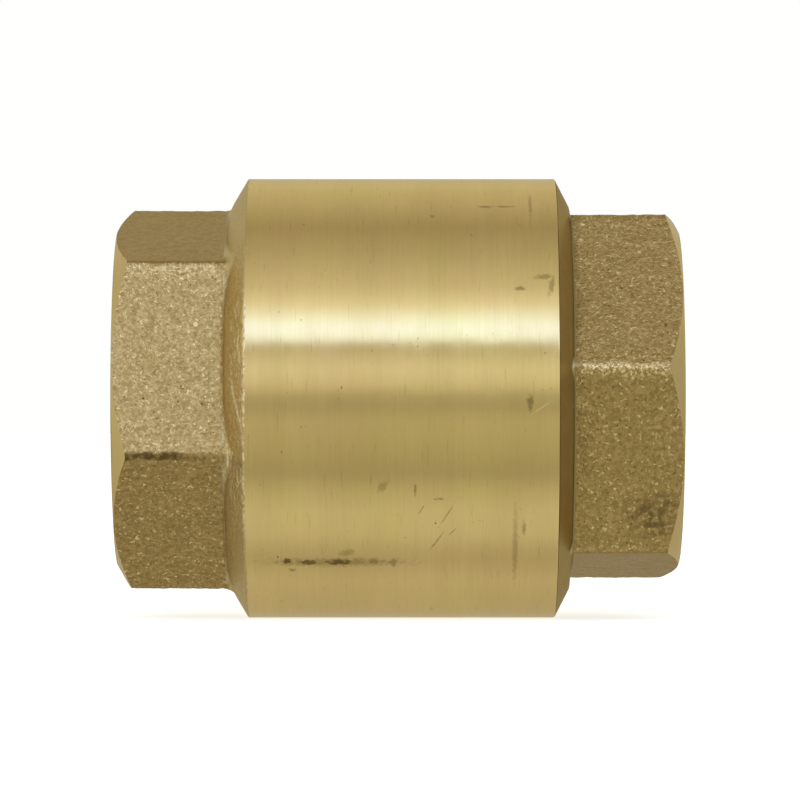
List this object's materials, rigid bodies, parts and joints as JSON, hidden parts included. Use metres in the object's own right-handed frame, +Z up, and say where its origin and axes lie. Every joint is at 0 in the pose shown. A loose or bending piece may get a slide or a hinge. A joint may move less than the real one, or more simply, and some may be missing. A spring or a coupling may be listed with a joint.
{
  "type": "check valve",
  "caption": "In-line spring check valve: turned brass barrel between hexagon ends with female pipe threads, and a spring-loaded poppet inside.",
  "frame": {"origin": "centre of the inlet end face, on the flow axis", "axes": "+X along the flow, from the inlet to the outlet; +Z up, as the valve lies"},
  "size_m": [0.053, 0.0414, 0.0414],
  "materials": {
    "body_brass": "turned satin on the barrel, blasted forging on the hexagon",
    "cap_brass": "blasted forging with a turned flange",
    "turned_brass": "fine turned",
    "stainless": "bright drawn and stamped",
    "guide_nylon": "natural moulded",
    "seal_rubber": "moulded, slightly matt"
  },
  "bodies": {
    "housing": {"valve_body": "body_brass", "end_cap": "cap_brass", "cap_o_ring": "seal_rubber", "inlet_guide": "guide_nylon", "inlet_circlip": "stainless", "outlet_guide": "guide_nylon", "spring_washer": "stainless", "spring": "stainless"},
    "poppet": {"poppet_stem": "turned_brass", "poppet_disc": "turned_brass", "seat_seal": "seal_rubber", "seal_retainer": "turned_brass", "stem_nut": "stainless"}
  },
  "joints": [
    {"name": "poppet_lift", "type": "slide", "parent": "housing", "child": "poppet", "axis": [1, 0, 0], "range_m": [0, 0.0045], "stiffness_N_per_m": 350, "springref_m": -0.0023, "deforming": ["spring"]}
  ]
}
